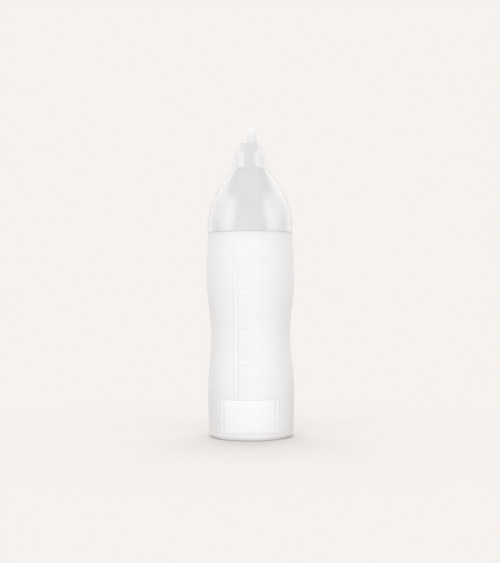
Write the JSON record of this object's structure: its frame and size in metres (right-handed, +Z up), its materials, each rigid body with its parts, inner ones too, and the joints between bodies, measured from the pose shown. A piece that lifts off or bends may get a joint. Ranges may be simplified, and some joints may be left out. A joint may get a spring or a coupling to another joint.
{
  "type": "squeeze feeding bottle",
  "caption": "Waisted wide-mouth squeeze bottle with a graduated front, a screw-on conical hood, a small off-centre spout and a pull-off tip cap.",
  "frame": {"origin": "centre of the bottle's base ring, on the surface it stands on", "axes": "+Z up along the bottle's axis, -Y towards the graduated front, +X to the right seen from the front, the side the spout is offset to"},
  "size_m": [0.0608, 0.061, 0.2151],
  "materials": {
    "body_plastic": "milky translucent, satin blow-moulded polyethylene",
    "seal_silicone": "matt translucent silicone",
    "hood_plastic": "milky translucent, satin injection-moulded polyethylene",
    "cap_plastic": "milky white, satin injection-moulded polyethylene"
  },
  "bodies": {
    "bottle": {"bottle_body": "body_plastic"},
    "seal": {"neck_seal_ring": "seal_silicone"},
    "hood_body": {"hood": "hood_plastic"},
    "cap": {"tip_cap": "cap_plastic"}
  },
  "joints": [
    {"name": "hood_lift", "type": "slide", "parent": "bottle", "child": "seal", "axis": [0, 0, 1], "range_m": [0, 0.0055]},
    {"name": "hood_turn", "type": "hinge", "parent": "seal", "child": "hood_body", "pos_m": [0, 0, 0.15], "axis": [0, 0, 1], "range_deg": [0, 480]},
    {"name": "cap_pull", "type": "slide", "parent": "hood_body", "child": "cap", "axis": [0, 0, 1], "range_m": [0, 0.014]}
  ],
  "couplings": [
    {"joint": "hood_lift", "follows": "hood_turn", "m_per_rad": 0.00063662}
  ]
}
